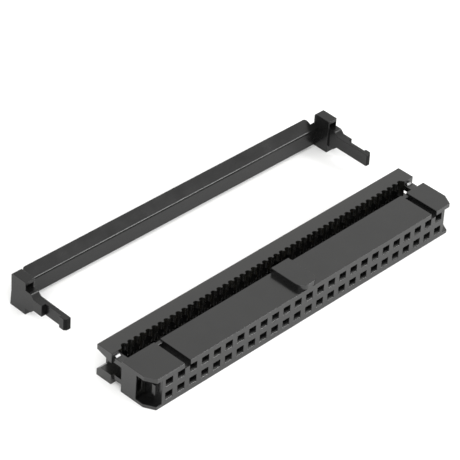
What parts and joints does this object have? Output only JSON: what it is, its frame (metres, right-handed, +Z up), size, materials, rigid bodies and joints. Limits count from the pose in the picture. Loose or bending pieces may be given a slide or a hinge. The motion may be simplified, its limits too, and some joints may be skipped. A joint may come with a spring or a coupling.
{
  "type": "insulation displacement connector",
  "caption": "Long double-row ribbon cable socket with a keyed housing, slotted displacement contacts, an open press-on cover and a separate hooked strain relief.",
  "frame": {"origin": "on the mating face, midway between the two rows of sockets, at the centre column", "axes": "+X along the rows, -Y out of the mating face, +Z up through the keyed long face"},
  "size_m": [0.0705, 0.0339, 0.007],
  "materials": {
    "black_polymer": "Glass-filled black polyester moulding with a fine matt surface.",
    "contact_alloy": "Phosphor bronze strip with a thin plated finish."
  },
  "bodies": {
    "connector": {"housing": "black_polymer", "strain_relief": "black_polymer", "contact_01": "contact_alloy", "contact_02": "contact_alloy", "contact_03": "contact_alloy", "contact_04": "contact_alloy", "contact_05": "contact_alloy", "contact_06": "contact_alloy", "contact_07": "contact_alloy", "contact_08": "contact_alloy", "contact_09": "contact_alloy", "contact_10": "contact_alloy", "contact_11": "contact_alloy", "contact_12": "contact_alloy", "contact_13": "contact_alloy", "contact_14": "contact_alloy", "contact_15": "contact_alloy", "contact_16": "contact_alloy", "contact_17": "contact_alloy", "contact_18": "contact_alloy", "contact_19": "contact_alloy", "contact_20": "contact_alloy", "contact_21": "contact_alloy", "contact_22": "contact_alloy", "contact_23": "contact_alloy", "contact_24": "contact_alloy", "contact_25": "contact_alloy", "contact_26": "contact_alloy", "contact_27": "contact_alloy", "contact_28": "contact_alloy", "contact_29": "contact_alloy", "contact_30": "contact_alloy", "contact_31": "contact_alloy", "contact_32": "contact_alloy", "contact_33": "contact_alloy", "contact_34": "contact_alloy", "contact_35": "contact_alloy", "contact_36": "contact_alloy", "contact_37": "contact_alloy", "contact_38": "contact_alloy", "contact_39": "contact_alloy", "contact_40": "contact_alloy", "contact_41": "contact_alloy", "contact_42": "contact_alloy", "contact_43": "contact_alloy", "contact_44": "contact_alloy", "contact_45": "contact_alloy", "contact_46": "contact_alloy", "contact_47": "contact_alloy", "contact_48": "contact_alloy", "contact_49": "contact_alloy", "contact_50": "contact_alloy"},
    "cover": {"cover": "black_polymer"}
  },
  "joints": [
    {"name": "cover_press", "type": "slide", "parent": "connector", "child": "cover", "axis": [0, -1, 0], "range_m": [0, 0.0017]}
  ]
}
